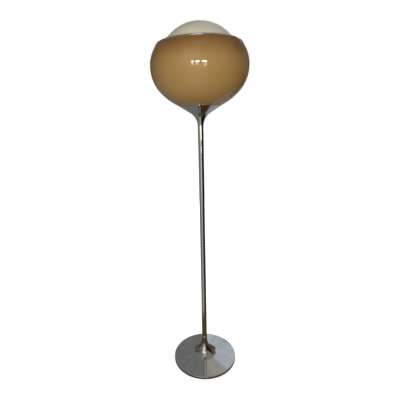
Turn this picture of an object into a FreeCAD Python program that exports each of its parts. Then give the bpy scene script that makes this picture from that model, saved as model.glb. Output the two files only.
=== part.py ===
"""Floor lamp: chromed trumpet foot, slim stem, chromed cup, caramel bowl shade and lift-off opal dome.

Millimetres, +Z up. The origin is the centre of the foot on the floor. The lamp is a tower of turned
pieces clamped together by one threaded tube, so most pieces are outlines turned about the Z axis.
"""
import FreeCAD, Part
import math
import os
import re
import Sketcher

Vector = FreeCAD.Vector
doc = FreeCAD.newDocument("FloorLamp")

# Driving sizes. Lengths in mm, angles in degrees.
SIZES = {
    # stem
    "stem_radius": 11.0,
    "stem_wall": 1.0,
    "stem_span": 947.0,
    "edge_break": 0.3,
    "turned_gap": 0.05,
    # foot
    "base_radius": 141.5,
    "base_top": 108.0,
    "rim_height": 11.5,
    "rim_rounding": 1.6,
    "rim_lift": 1.0,
    "base_slope_angle": 8.5,
    "neck_arc_radius": 132.0,
    "neck_arc_angle": 27.5,
    "shell_wall": 1.5,
    "felt_thickness": 2.0,
    "felt_inset": 9.0,
    # weight inside the foot
    "weight_gap": 0.05,
    "weight_rim_gap": 0.3,
    "boss_radius": 32.0,
    "boss_top": 30.0,
    "well_radius": 24.0,
    "well_top": 22.0,
    "channel_side_gap": 0.1,
    "channel_height": 5.6,
    "pocket_length": 38.0,
    "pocket_width": 24.0,
    "pocket_height": 11.0,
    "pocket_place": 50.0,
    # flex outlet and lead
    "flex_width": 5.4,
    "flex_thickness": 3.4,
    "flex_rounding": 1.6,
    "flex_gap": 0.1,
    "bush_wall": 0.9,
    "bush_length": 8.0,
    "bush_proud": 2.0,
    "bush_lip": 0.8,
    "lead_bend_radius": 8.0,
    # terminal block
    "block_length": 20.0,
    "block_width": 15.0,
    "block_height": 10.0,
    "pole_spacing": 9.0,
    "pole_rise": 5.0,
    "pole_bore_radius": 1.6,
    "clamp_spacing": 8.0,
    "clamp_screw_radius": 1.5,
    "clamp_screw_length": 4.0,
    "screw_slot_width": 0.6,
    "screw_slot_depth": 0.8,
    "block_screw_radius": 1.5,
    "block_screw_bite": 3.0,
    "block_screw_head_radius": 2.8,
    "block_screw_head_height": 2.0,
    # tie rod, nuts and washers
    "rod_radius": 5.0,
    "rod_bore_radius": 4.0,
    "rod_below_nut": 1.2,
    "nut_width": 14.0,
    "nut_height": 5.0,
    "base_washer_radius": 18.0,
    "base_washer_thickness": 2.0,
    # stem bushes
    "bush_in_stem": 25.0,
    "bush_in_neck": 12.0,
    # cup
    "cup_share": 0.4374,
    "cup_neck_length": 0.53,
    "cup_slope_angle": 31.7,
    "cup_arc_radius": 60.0,
    "cup_lip_width": 9.0,
    "cup_lip_rounding": 0.4,
    "cup_washer_rise": 27.0,
    "cup_washer_height": 12.0,
    # bowl; cup, gallery plate, ring and dome follow its radius
    "bowl_radius": 183.6,
    "bowl_wall": 3.0,
    "belly_height_share": 0.7582,
    "upper_arc_share": 0.6536,
    "lower_arc_share": 0.7168,
    "bowl_lower_arc_angle": 43.0,
    "bottom_arc_share": 1.1438,
    "bowl_bottom_arc_angle": 60.5,
    "bowl_height_share": 1.1721,
    "floor_hole_share": 0.3159,
    "shade_gasket_thickness": 0.5,
    "shade_gasket_width": 5.0,
    # gallery plate
    "gallery_share": 0.4139,
    "gallery_thickness": 2.0,
    "gallery_dish_share": 0.2505,
    "gallery_dish_depth": 7.0,
    "gallery_dish_angle": 45.0,
    "gallery_washer_radius": 11.0,
    "gallery_washer_thickness": 1.5,
    # trim ring
    "ring_wall": 1.0,
    "ring_gap": 0.15,
    "ring_skirt": 5.0,
    "ring_inner_drop": 5.0,
    "ring_ledge_width": 7.0,
    # dome
    "dome_share": 0.8611,
    "dome_wall": 3.0,
    "dome_height_share": 0.4319,
    "dome_flange_gap": 0.8,
    "dome_seat_gap": 0.05,
    "dome_fillet_radius": 4.0,
    # lampholder
    "holder_radius": 20.0,
    "holder_wall": 2.0,
    "holder_cap_height": 21.0,
    "holder_cap_rounding": 8.0,
    "holder_collar_radius": 8.5,
    "holder_collar_height": 5.0,
    "holder_thread_bite": 8.0,
    "holder_cavity_radius": 14.0,
    "holder_barrel_height": 32.0,
    "holder_barrel_bore": 16.5,
    "holder_mouth_radius": 14.6,
    "insert_bottom": 15.0,
    "insert_height": 9.0,
    "insert_well_depth": 4.0,
    "insert_well_radius": 6.0,
    "sleeve_radius": 13.4,
    "sleeve_wall": 0.4,
    "sleeve_height": 21.0,
    "contact_reach": 8.0,
    "contact_bend": 3.0,
    "contact_width": 5.0,
    "contact_thickness": 0.6,
    "contact_rise": 3.0,
    # bulb
    "bulb_radius": 30.0,
    "bulb_length_share": 3.5,
    "bulb_glass_wall": 0.8,
    "bulb_neck_radius": 13.4,
    "bulb_neck_arc_share": 1.6667,
    "bulb_cap_radius": 13.1,
    "bulb_cap_wall": 0.4,
    "bulb_cap_height": 20.0,
    "bulb_thread_depth": 0.8,
    "bulb_thread_pitch": 3.6,
    "bulb_insulator_height": 3.6,
    "bulb_insulator_radius": 8.0,
    "bulb_tip_radius": 4.0,
    "bulb_tip_height": 1.2,
    "bulb_rest_gap": 0.3,
}

THREAD_TURNS = 4

# Sizes that follow from the driving ones, in the sheet's own formulas.
DERIVED = {
    "stem_bore_radius": "stem_radius - stem_wall",
    "neck_bore_radius": "stem_radius - shell_wall",
    "stem_top": "base_top + stem_span",
    # foot outline: neck arc, then foot arc, tangent to the low cone
    "neck_arc_end_radius": "stem_radius + neck_arc_radius * (1 - cos(neck_arc_angle))",
    "neck_arc_end_height": "base_top - neck_arc_radius * sin(neck_arc_angle)",
    "foot_arc_angle": "90 - base_slope_angle",
    "foot_arc_radius": "(neck_arc_end_height - rim_height"
                       " - (base_radius - neck_arc_end_radius) * tan(base_slope_angle))"
                       " / (sin(foot_arc_angle) - sin(neck_arc_angle)"
                       " - (cos(neck_arc_angle) - cos(foot_arc_angle)) * tan(base_slope_angle))",
    "foot_arc_end_radius": "neck_arc_end_radius"
                           " + foot_arc_radius * (cos(neck_arc_angle) - cos(foot_arc_angle))",
    "foot_arc_end_height": "neck_arc_end_height"
                           " - foot_arc_radius * (sin(foot_arc_angle) - sin(neck_arc_angle))",
    "rim_tangent": "rim_rounding * tan(foot_arc_angle / 2)",
    "rim_inner_radius": "base_radius - shell_wall",
    # underside of the shell at its inner rim
    "rim_inner_height": "rim_height + shell_wall * tan(base_slope_angle)"
                        " - shell_wall / cos(base_slope_angle)",
    # weight
    "weight_radius": "rim_inner_radius - weight_rim_gap",
    "weight_edge_top": "rim_inner_height + weight_rim_gap * tan(base_slope_angle)"
                       " - weight_gap / cos(base_slope_angle)",
    "shoulder_height": "weight_edge_top"
                       " + (weight_radius - foot_arc_end_radius) * tan(base_slope_angle)",
    # stack under the weight's web
    "rod_hole_radius": "rod_radius + turned_gap",
    "base_nut_top": "well_top - base_washer_thickness",
    "base_nut_bottom": "base_nut_top - nut_height",
    "rod_bottom": "base_nut_bottom - rod_below_nut",
    "nut_corner_radius": "nut_width / sqrt(3)",
    # flex outlet
    "slot_width": "flex_width + 2 * flex_gap",
    "slot_height": "flex_thickness + 2 * flex_gap",
    "bush_width": "slot_width + 2 * bush_wall",
    "bush_height": "slot_height + 2 * bush_wall",
    "bush_middle": "rim_lift + bush_height / 2",
    "channel_width": "bush_width + 2 * channel_side_gap",
    # lead and terminal block
    "lead_level": "felt_thickness + channel_height - flex_thickness / 2",
    "lead_bend_top": "lead_level + lead_bend_radius",
    "block_front": "pocket_place - block_width / 2",
    "block_top": "felt_thickness + pocket_height",
    "block_bottom": "block_top - block_height",
    "pole_level": "block_bottom + pole_rise",
    # cup outline, from the neck up
    "cup_radius": "bowl_radius * cup_share",
    "cup_turn_angle": "90 - cup_slope_angle",
    "cup_tangent": "cup_arc_radius * tan(cup_turn_angle / 2)",
    "cup_arc_start": "stem_top + cup_neck_length",
    "cup_cone_foot": "cup_arc_start + cup_tangent",
    "cup_top": "cup_cone_foot + (cup_radius - stem_radius) * tan(cup_slope_angle)",
    "cup_arc_centre": "stem_radius + cup_arc_radius",
    "cup_arc_end_radius": "stem_radius + cup_tangent * sin(cup_turn_angle)",
    "cup_arc_end_height": "cup_cone_foot + cup_tangent * cos(cup_turn_angle)",
    "cup_lip_tangent": "cup_lip_rounding / tan(cup_slope_angle / 2)",
    "cup_lip_inner": "cup_radius - cup_lip_width",
    "cup_lip_meet": "cup_radius - shell_wall / tan(cup_slope_angle) - shell_wall / sin(cup_slope_angle)",
    "cup_washer_bottom": "stem_top + cup_washer_rise - cup_washer_height",
    "cup_washer_top": "stem_top + cup_washer_rise",
    "cup_seat_arc_radius": "cup_arc_radius + shell_wall + turned_gap",
    "cup_washer_small": "cup_arc_centre"
                        " - sqrt(cup_seat_arc_radius ^ 2 - (cup_washer_bottom - cup_arc_start) ^ 2)",
    "cup_washer_large": "cup_arc_centre"
                        " - sqrt(cup_seat_arc_radius ^ 2 - (cup_washer_top - cup_arc_start) ^ 2)",
    # levels of the head
    "bowl_bottom": "cup_top + shade_gasket_thickness",
    "bowl_floor_top": "bowl_bottom + bowl_wall",
    "belly_level": "cup_top + bowl_radius * belly_height_share",
    "bowl_top": "cup_top + bowl_radius * bowl_height_share",
    # bowl outline, from the belly down
    "bowl_upper_arc_radius": "bowl_radius * upper_arc_share",
    "bowl_lower_arc_radius": "bowl_radius * lower_arc_share",
    "bowl_bottom_arc_radius": "bowl_radius * bottom_arc_share",
    "upper_arc_centre": "bowl_radius - bowl_upper_arc_radius",
    "lower_arc_centre": "bowl_radius - bowl_lower_arc_radius",
    "lower_arc_end_radius": "lower_arc_centre + bowl_lower_arc_radius * cos(bowl_lower_arc_angle)",
    "lower_arc_end_height": "belly_level - bowl_lower_arc_radius * sin(bowl_lower_arc_angle)",
    "bottom_centre_radius": "lower_arc_end_radius - bowl_bottom_arc_radius * cos(bowl_lower_arc_angle)",
    "bottom_centre_height": "lower_arc_end_height + bowl_bottom_arc_radius * sin(bowl_lower_arc_angle)",
    "bottom_arc_end_radius": "bottom_centre_radius + bowl_bottom_arc_radius * cos(bowl_bottom_arc_angle)",
    "bottom_arc_end_height": "bottom_centre_height - bowl_bottom_arc_radius * sin(bowl_bottom_arc_angle)",
    "bowl_foot_radius": "bottom_arc_end_radius"
                        " - (bottom_arc_end_height - bowl_bottom) * tan(bowl_bottom_arc_angle)",
    "bowl_floor_radius": "bowl_foot_radius + bowl_wall * tan(bowl_bottom_arc_angle)"
                         " - bowl_wall / cos(bowl_bottom_arc_angle)",
    "floor_hole_radius": "bowl_radius * floor_hole_share",
    "mouth_rise": "bowl_top - belly_level",
    "mouth_radius": "upper_arc_centre + sqrt(bowl_upper_arc_radius ^ 2 - mouth_rise ^ 2)",
    "mouth_inner_radius": "upper_arc_centre"
                          " + sqrt((bowl_upper_arc_radius - bowl_wall) ^ 2 - mouth_rise ^ 2)",
    # gallery plate and the stack on it
    "gallery_radius": "bowl_radius * gallery_share",
    "gallery_dish_radius": "bowl_radius * gallery_dish_share",
    "gallery_bottom": "bowl_floor_top + shade_gasket_thickness",
    "gallery_top": "gallery_bottom + gallery_thickness",
    "gallery_slope_radius": "gallery_dish_radius + gallery_dish_depth / tan(gallery_dish_angle)",
    "gallery_bend_shift": "gallery_thickness * tan(gallery_dish_angle / 2)",
    "gallery_dish_top": "gallery_top - gallery_dish_depth",
    "gallery_washer_top": "gallery_dish_top + gallery_washer_thickness",
    "holder_bottom": "gallery_washer_top + nut_height",
    "rod_top": "holder_bottom + holder_thread_bite",
    # trim ring
    "ring_top": "bowl_top + ring_wall",
    "ring_bottom": "bowl_top - ring_skirt",
    "ring_inner_arc": "bowl_upper_arc_radius + ring_gap",
    "ring_outer_arc": "ring_inner_arc + ring_wall",
    "ring_bottom_inner": "upper_arc_centre"
                         " + sqrt(ring_inner_arc ^ 2 - (ring_bottom - belly_level) ^ 2)",
    "ring_bottom_outer": "upper_arc_centre"
                         " + sqrt(ring_outer_arc ^ 2 - (ring_bottom - belly_level) ^ 2)",
    "ring_web_inner": "upper_arc_centre + sqrt(ring_inner_arc ^ 2 - mouth_rise ^ 2)",
    "ring_web_outer": "upper_arc_centre"
                      " + sqrt(ring_outer_arc ^ 2 - (ring_top - belly_level) ^ 2)",
    "ring_well_outer": "mouth_inner_radius - ring_gap",
    "ring_well_radius": "ring_well_outer - ring_wall",
    "ring_ledge_top": "ring_top - ring_inner_drop",
    "ring_ledge_radius": "ring_well_radius - ring_ledge_width",
    # dome
    "dome_radius": "bowl_radius * dome_share",
    "dome_seat": "ring_ledge_top + dome_seat_gap",
    "dome_flange_top": "dome_seat + dome_wall",
    "dome_top": "dome_seat + bowl_radius * dome_height_share",
    "dome_centre": "dome_top - dome_radius",
    "dome_flange_radius": "ring_well_radius - dome_flange_gap",
    "dome_inner_arc": "dome_radius - dome_wall",
    "dome_mouth_radius": "sqrt(dome_inner_arc ^ 2 - (dome_seat - dome_centre) ^ 2)",
    "dome_fillet_rise": "dome_flange_top + dome_fillet_radius - dome_centre",
    "dome_fillet_centre": "sqrt((dome_radius + dome_fillet_radius) ^ 2 - dome_fillet_rise ^ 2)",
    "dome_fillet_share": "dome_radius / (dome_radius + dome_fillet_radius)",
    # lampholder
    "holder_inner_radius": "holder_radius - holder_wall",
    "holder_split": "holder_bottom + holder_cap_height",
    "holder_top": "holder_split + holder_barrel_height",
    "insert_level": "holder_bottom + insert_bottom",
    "insert_top": "insert_level + insert_height",
    "lead_top": "insert_level + insert_well_depth",
    "contact_top": "insert_top + contact_rise",
    # bulb
    "bulb_bottom": "contact_top + bulb_rest_gap",
    "bulb_tip_top": "bulb_bottom + bulb_tip_height",
    "bulb_cap_bottom": "bulb_tip_top + bulb_insulator_height",
    "bulb_cap_top": "bulb_cap_bottom + bulb_cap_height",
    "bulb_centre": "bulb_bottom + bulb_radius * bulb_length_share - bulb_radius",
    "thread_middle_radius": "bulb_cap_radius - bulb_thread_depth / 2",
    "thread_arc_radius": "(bulb_thread_pitch ^ 2 / 16 + bulb_thread_depth ^ 2 / 4) / bulb_thread_depth",
    "bulb_cap_inner": "bulb_cap_radius - bulb_thread_depth - bulb_cap_wall",
    "bulb_neck_arc_radius": "bulb_radius * bulb_neck_arc_share",
    "bulb_arc_centre": "bulb_neck_radius + bulb_neck_arc_radius",
    "bulb_arc_reach": "bulb_radius + bulb_neck_arc_radius",
    "bulb_arc_drop": "sqrt(bulb_arc_reach ^ 2 - bulb_arc_centre ^ 2)",
}

sheet = doc.addObject("Spreadsheet::Sheet", "Sizes")
row = 0
for alias, size in SIZES.items():
    row += 1
    sheet.set(f"A{row}", alias)
    sheet.set(f"B{row}", str(size))
    sheet.setAlias(f"B{row}", alias)
for alias, formula in DERIVED.items():
    row += 1
    sheet.set(f"A{row}", alias)
    sheet.set(f"B{row}", "=" + formula)
    sheet.setAlias(f"B{row}", alias)
doc.recompute()

ORIGIN = -1  # geometry number of a sketch's origin and horizontal axis
UPRIGHT = -2  # geometry number of a sketch's vertical axis
START, END, CENTRE = 1, 2, 3


def value(text):
    """Number that a formula in the sheet's names gives."""
    return float(sheet.evalExpression(text))


def bound(text):
    """The same formula as other objects write it."""
    return re.sub(r"[a-z]+(?:_[a-z]+)+", r"Sizes.\g<0>", text)


def new_body(label):
    body = doc.addObject("PartDesign::Body", label)
    body.Label = label
    body.AllowCompound = True
    return body


def new_sketch(body, role, offset="0"):
    """Sketch on one of the body's own planes, raised by a formula."""
    sketch = body.newObject("Sketcher::SketchObject", body.Name + "_sketch")
    plane = [item for item in body.Origin.OriginFeatures if item.Role == role][0]
    sketch.AttachmentSupport = (plane, [""])
    sketch.MapMode = "FlatFace"
    if offset != "0":
        sketch.setExpression("AttachmentOffset.Base.z", bound(offset))
    return sketch


def hold(sketch, geometry, vertex, x, y):
    """Fix one point of a sketch at two formulas, or on an axis where a formula is zero."""
    for text, kind, axis in ((x, "DistanceX", UPRIGHT), (y, "DistanceY", ORIGIN)):
        if text == "0":
            sketch.addConstraint(Sketcher.Constraint("PointOnObject", geometry, vertex, axis))
            continue
        number = sketch.addConstraint(
            Sketcher.Constraint(kind, ORIGIN, START, geometry, vertex, value(text)))
        sketch.setExpression(f"Constraints[{number}]", bound(text))


def arc_between(first, last, radius, centre_left):
    """Arc from first to last with its centre on the given side of the way between them."""
    chord = last - first
    rise = math.sqrt(max(radius ** 2 - (chord.Length / 2) ** 2, 0))
    across = Vector(-chord.y, chord.x, 0)
    across.normalize()
    centre = (first + last) / 2 + across * (rise if centre_left else -rise)
    ends = (first - centre, last - centre) if centre_left else (last - centre, first - centre)
    angles = [math.atan2(end.y, end.x) for end in ends]
    circle = Part.Circle(centre, Vector(0, 0, 1), radius)
    return Part.ArcOfCircle(circle, angles[0], angles[1])


def draw(sketch, points, closed=True):
    """Outline through points (x, y), or (x, y, radius, side) where an arc leads to the point."""
    places = [Vector(value(point[0]), value(point[1]), 0) for point in points]
    ends = []
    for index, point in enumerate(points):
        if index == 0 and not closed:
            continue
        first, last = places[index - 1], places[index]
        if len(point) == 2:
            edge = sketch.addGeometry(Part.LineSegment(first, last), False)
            ends.append((edge, START, END))
        else:
            left = point[3] == "left"
            edge = sketch.addGeometry(arc_between(first, last, value(point[2]), left), False)
            ends.append((edge, START, END) if left else (edge, END, START))
            number = sketch.addConstraint(Sketcher.Constraint("Radius", edge, value(point[2])))
            sketch.setExpression(f"Constraints[{number}]", bound(point[2]))
    for index, (edge, first, last) in enumerate(ends):
        x, y = points[index - 1][:2] if closed else points[index][:2]
        hold(sketch, edge, first, x, y)
        if closed or index > 0:
            before, _, joined = ends[index - 1]
            sketch.addConstraint(Sketcher.Constraint("Coincident", before, joined, edge, first))
    if not closed:
        edge, _, last = ends[-1]
        hold(sketch, edge, last, *points[-1][:2])


def circle(sketch, x, y, radius):
    place = Vector(value(x), value(y), 0)
    edge = sketch.addGeometry(Part.Circle(place, Vector(0, 0, 1), value(radius)), False)
    hold(sketch, edge, CENTRE, x, y)
    number = sketch.addConstraint(Sketcher.Constraint("Radius", edge, value(radius)))
    sketch.setExpression(f"Constraints[{number}]", bound(radius))


def box(left, right, low, high):
    """Corners of a rectangle, counterclockwise."""
    return [(left, low), (right, low), (right, high), (left, high)]


def rounded(half_width, low, high, radius):
    """Rectangle about the vertical axis with rounded corners, counterclockwise."""
    return [
        (f"{radius} - {half_width}", low, radius, "left"),
        (f"{half_width} - {radius}", low),
        (half_width, f"{low} + {radius}", radius, "left"),
        (half_width, f"{high} - {radius}"),
        (f"{half_width} - {radius}", high, radius, "left"),
        (f"{radius} - {half_width}", high),
        (f"-{half_width}", f"{high} - {radius}", radius, "left"),
        (f"-{half_width}", f"{low} + {radius}"),
    ]


def turn(body, points):
    """Turn an outline of (radius, height) points about the Z axis."""
    sketch = new_sketch(body, "XZ_Plane")
    draw(sketch, points)
    turned = body.newObject("PartDesign::Revolution", body.Name + "_turn")
    turned.Profile = sketch
    turned.ReferenceAxis = (sketch, ["V_Axis"])
    turned.Angle = 360
    return turned


def turned_body(label, points):
    body = new_body(label)
    turn(body, points)
    return body


def tube(label, inner, outer, low, high):
    return turned_body(label, box(inner, outer, low, high))


def pad(body, sketch, length, reverse=False):
    feature = body.newObject("PartDesign::Pad", body.Name + "_pad")
    feature.Profile = sketch
    feature.setExpression("Length", bound(length))
    feature.Reversed = reverse
    return feature


def pocket(body, sketch, depth, reverse=False):
    feature = body.newObject("PartDesign::Pocket", body.Name + "_pocket")
    feature.Profile = sketch
    feature.setExpression("Length", bound(depth))
    feature.Reversed = reverse
    return feature


def hexagon_nut(label, bottom):
    body = new_body(label)
    sketch = new_sketch(body, "XY_Plane", bottom)
    draw(sketch, [(f"nut_corner_radius * cos({60 * corner})", f"nut_corner_radius * sin({60 * corner})")
                  for corner in range(6)])
    circle(sketch, "0", "0", "rod_hole_radius")
    pad(body, sketch, "nut_height")
    return body


# Foot

def base_shell():
    body = turned_body("base_shell", [
        ("neck_bore_radius", "base_top", "neck_arc_radius + shell_wall", "right"),
        ("stem_radius - edge_break", "base_top"),
        ("stem_radius", "base_top - edge_break"),
        ("neck_arc_end_radius", "neck_arc_end_height", "neck_arc_radius", "left"),
        ("foot_arc_end_radius", "foot_arc_end_height", "foot_arc_radius", "left"),
        ("base_radius - rim_tangent * cos(base_slope_angle)",
         "rim_height + rim_tangent * sin(base_slope_angle)"),
        ("base_radius", "rim_height - rim_tangent", "rim_rounding", "right"),
        ("base_radius", "rim_lift"),
        ("rim_inner_radius", "rim_lift"),
        ("rim_inner_radius", "rim_inner_height"),
        ("foot_arc_end_radius - shell_wall * sin(base_slope_angle)",
         "foot_arc_end_height - shell_wall * cos(base_slope_angle)"),
        ("neck_arc_end_radius - shell_wall * cos(neck_arc_angle)",
         "neck_arc_end_height - shell_wall * sin(neck_arc_angle)",
         "foot_arc_radius + shell_wall", "right"),
    ])
    notch = new_sketch(body, "XY_Plane", "rim_lift")
    draw(notch, box("-bush_width / 2", "bush_width / 2", "weight_radius", "base_radius + bush_proud"))
    pocket(body, notch, "bush_height", reverse=True)
    return body


def base_weight():
    body = turned_body("base_weight", [
        ("rod_hole_radius", "boss_top"),
        ("rod_hole_radius", "well_top"),
        ("well_radius", "well_top"),
        ("well_radius", "felt_thickness"),
        ("weight_radius", "felt_thickness"),
        ("weight_radius", "weight_edge_top"),
        ("foot_arc_end_radius", "shoulder_height"),
        ("boss_radius", "shoulder_height"),
        ("boss_radius", "boss_top"),
    ])
    channel = new_sketch(body, "XY_Plane", "felt_thickness")
    draw(channel, box("-channel_width / 2", "channel_width / 2", "0", "base_radius"))
    pocket(body, channel, "channel_height", reverse=True)
    block_pocket = new_sketch(body, "XY_Plane", "felt_thickness")
    draw(block_pocket, box("-pocket_width / 2", "pocket_width / 2",
                           "pocket_place - pocket_length / 2", "pocket_place + pocket_length / 2"))
    pocket(body, block_pocket, "pocket_height", reverse=True)
    screw_hole = new_sketch(body, "XY_Plane", "block_top")
    circle(screw_hole, "0", "pocket_place", "block_screw_radius")
    pocket(body, screw_hole, "block_screw_bite", reverse=True)
    return body


def felt_disc():
    return turned_body("felt_disc", box("0", "base_radius - felt_inset", "0", "felt_thickness"))


def cable_bush():
    """Rubber outlet in the rim's notch, with a lip outside the rim."""
    body = new_body("cable_bush")
    stem = new_sketch(body, "XZ_Plane", "-(base_radius + bush_proud)")
    draw(stem, box("-bush_width / 2", "bush_width / 2",
                   "bush_middle - bush_height / 2", "bush_middle + bush_height / 2"))
    pad(body, stem, "bush_length")
    lip = new_sketch(body, "XZ_Plane", "-(base_radius + bush_proud)")
    draw(lip, rounded("(bush_width / 2 + bush_lip)", "bush_middle - bush_height / 2 - bush_lip",
                      "bush_middle + bush_height / 2 + bush_lip", "flex_rounding"))
    pad(body, lip, "bush_proud")
    slot = new_sketch(body, "XZ_Plane", "-(base_radius + bush_proud)")
    draw(slot, rounded("slot_width / 2", "bush_middle - slot_height / 2",
                       "bush_middle + slot_height / 2", "flex_rounding"))
    pocket(body, slot, "bush_length", reverse=True)
    return body


def poles(sketch, radius, height=None):
    """A circle for each pole of the terminal block, or for each of its clamping screws."""
    for side in ("-", ""):
        if height:
            circle(sketch, f"{side}pole_spacing / 2", height, radius)
            continue
        for end in ("-", "+"):
            circle(sketch, f"{side}pole_spacing / 2", f"pocket_place {end} clamp_spacing / 2", radius)


def terminal_block():
    body = new_body("terminal_block")
    blank = new_sketch(body, "XY_Plane", "block_bottom")
    draw(blank, box("-block_length / 2", "block_length / 2",
                    "block_front", "pocket_place + block_width / 2"))
    pad(body, blank, "block_height")
    bores = new_sketch(body, "XZ_Plane", "-block_front")
    poles(bores, "pole_bore_radius", "pole_level")
    pocket(body, bores, "block_width")
    clamps = new_sketch(body, "XY_Plane", "block_bottom")
    poles(clamps, "clamp_screw_radius")
    pocket(body, clamps, "clamp_screw_length", reverse=True)
    screw_hole = new_sketch(body, "XY_Plane", "block_bottom")
    circle(screw_hole, "0", "pocket_place", "block_screw_radius")
    pocket(body, screw_hole, "block_height", reverse=True)
    head_hole = new_sketch(body, "XY_Plane", "block_bottom")
    circle(head_hole, "0", "pocket_place", "block_screw_head_radius")
    pocket(body, head_hole, "block_screw_head_height", reverse=True)
    return body


def slot_box(sketch, left, right, half_length):
    draw(sketch, box(left, right, f"pocket_place - {half_length}", f"pocket_place + {half_length}"))


def terminal_screws():
    """Four slotted screws that clamp the cores."""
    body = new_body("terminal_screws")
    shanks = new_sketch(body, "XY_Plane", "block_bottom")
    poles(shanks, "clamp_screw_radius")
    pad(body, shanks, "clamp_screw_length")
    slots = new_sketch(body, "XY_Plane", "block_bottom")
    for side in ("-", ""):
        middle = f"{side}pole_spacing / 2"
        slot_box(slots, f"{middle} - screw_slot_width / 2", f"{middle} + screw_slot_width / 2",
                 "block_width / 2")
    pocket(body, slots, "screw_slot_depth", reverse=True)
    return body


def block_screw():
    """Slotted screw through the block into the weight."""
    body = new_body("block_screw")
    head = new_sketch(body, "XY_Plane", "block_bottom")
    circle(head, "0", "pocket_place", "block_screw_head_radius")
    pad(body, head, "block_screw_head_height")
    shank = new_sketch(body, "XY_Plane", "block_bottom")
    circle(shank, "0", "pocket_place", "block_screw_radius")
    pad(body, shank, "block_height + block_screw_bite")
    slot = new_sketch(body, "XY_Plane", "block_bottom")
    slot_box(slot, "-screw_slot_width / 2", "screw_slot_width / 2", "block_screw_head_radius")
    pocket(body, slot, "screw_slot_depth", reverse=True)
    return body


# Stem

def stem_bush(label, joint, stem_side, neck_side):
    """Turned bush across a joint: the part in the stem rests its step on the neck's edge."""
    stem_end = f"{joint} {stem_side} bush_in_stem"
    neck_end = f"{joint} {neck_side} bush_in_neck"
    return turned_body(label, [
        ("rod_hole_radius", stem_end),
        ("rod_hole_radius", neck_end),
        ("neck_bore_radius - turned_gap", neck_end),
        ("neck_bore_radius - turned_gap", joint),
        ("stem_bore_radius - turned_gap", joint),
        ("stem_bore_radius - turned_gap", stem_end),
    ])


def stem_tube():
    return turned_body("stem_tube", [
        ("stem_bore_radius", "base_top"),
        ("stem_radius - edge_break", "base_top"),
        ("stem_radius", "base_top + edge_break"),
        ("stem_radius", "stem_top - edge_break"),
        ("stem_radius - edge_break", "stem_top"),
        ("stem_bore_radius", "stem_top"),
    ])


def stem_lead():
    """Flat twin lead: down the tie rod, round a bend and along the channel to the block."""
    body = new_body("stem_lead")
    route = new_sketch(body, "YZ_Plane")
    draw(route, [("0", "lead_top"), ("0", "lead_bend_top"),
                 ("lead_bend_radius", "lead_level", "lead_bend_radius", "left"),
                 ("block_front", "lead_level")], closed=False)
    section = new_sketch(body, "XY_Plane", "lead_top")
    draw(section, rounded("flex_width / 2", "-flex_thickness / 2", "flex_thickness / 2", "flex_rounding"))
    pipe = body.newObject("PartDesign::AdditivePipe", "stem_lead_pipe")
    pipe.Profile = section
    pipe.Spine = (route, [""])
    return body


# Head

def cup_shell():
    return turned_body("cup_shell", [
        ("neck_bore_radius", "stem_top"),
        ("stem_radius - edge_break", "stem_top"),
        ("stem_radius", "stem_top + edge_break"),
        ("stem_radius", "cup_arc_start"),
        ("cup_arc_end_radius", "cup_arc_end_height", "cup_arc_radius", "right"),
        ("cup_radius - cup_lip_tangent * cos(cup_slope_angle)",
         "cup_top - cup_lip_tangent * sin(cup_slope_angle)"),
        ("cup_radius - cup_lip_tangent", "cup_top", "cup_lip_rounding", "left"),
        ("cup_lip_inner", "cup_top"),
        ("cup_lip_inner", "cup_top - shell_wall"),
        ("cup_lip_meet", "cup_top - shell_wall"),
        ("cup_arc_end_radius - shell_wall * sin(cup_slope_angle)",
         "cup_arc_end_height + shell_wall * cos(cup_slope_angle)"),
        ("neck_bore_radius", "cup_arc_start", "cup_arc_radius + shell_wall", "left"),
    ])


def cup_washer():
    """Turned seat that fits the flare and carries the cup's nut."""
    return turned_body("cup_washer", [
        ("rod_hole_radius", "cup_washer_bottom"),
        ("cup_washer_small", "cup_washer_bottom"),
        ("cup_washer_large", "cup_washer_top", "cup_seat_arc_radius", "right"),
        ("rod_hole_radius", "cup_washer_top"),
    ])


def shade_bowl():
    inner = {name: f"{name} - bowl_wall" for name in
             ("bowl_upper_arc_radius", "bowl_lower_arc_radius", "bowl_bottom_arc_radius")}
    return turned_body("shade_bowl", [
        ("floor_hole_radius", "bowl_floor_top"),
        ("floor_hole_radius", "bowl_bottom"),
        ("bowl_foot_radius", "bowl_bottom"),
        ("bottom_arc_end_radius", "bottom_arc_end_height"),
        ("lower_arc_end_radius", "lower_arc_end_height", "bowl_bottom_arc_radius", "left"),
        ("bowl_radius", "belly_level", "bowl_lower_arc_radius", "left"),
        ("mouth_radius", "bowl_top", "bowl_upper_arc_radius", "left"),
        ("mouth_inner_radius", "bowl_top"),
        ("bowl_radius - bowl_wall", "belly_level", inner["bowl_upper_arc_radius"], "right"),
        ("lower_arc_end_radius - bowl_wall * cos(bowl_lower_arc_angle)",
         "lower_arc_end_height + bowl_wall * sin(bowl_lower_arc_angle)",
         inner["bowl_lower_arc_radius"], "right"),
        ("bottom_arc_end_radius - bowl_wall * cos(bowl_bottom_arc_angle)",
         "bottom_arc_end_height + bowl_wall * sin(bowl_bottom_arc_angle)",
         inner["bowl_bottom_arc_radius"], "right"),
        ("bowl_floor_radius", "bowl_floor_top"),
    ])


def gallery_plate():
    """Steel plate on the bowl's floor, dished through the hole."""
    return turned_body("gallery_plate", [
        ("rod_hole_radius", "gallery_dish_top"),
        ("rod_hole_radius", "gallery_dish_top - gallery_thickness"),
        ("gallery_dish_radius + gallery_bend_shift", "gallery_dish_top - gallery_thickness"),
        ("gallery_slope_radius + gallery_bend_shift", "gallery_bottom"),
        ("gallery_radius", "gallery_bottom"),
        ("gallery_radius", "gallery_top"),
        ("gallery_slope_radius", "gallery_top"),
        ("gallery_dish_radius", "gallery_dish_top"),
    ])


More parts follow.
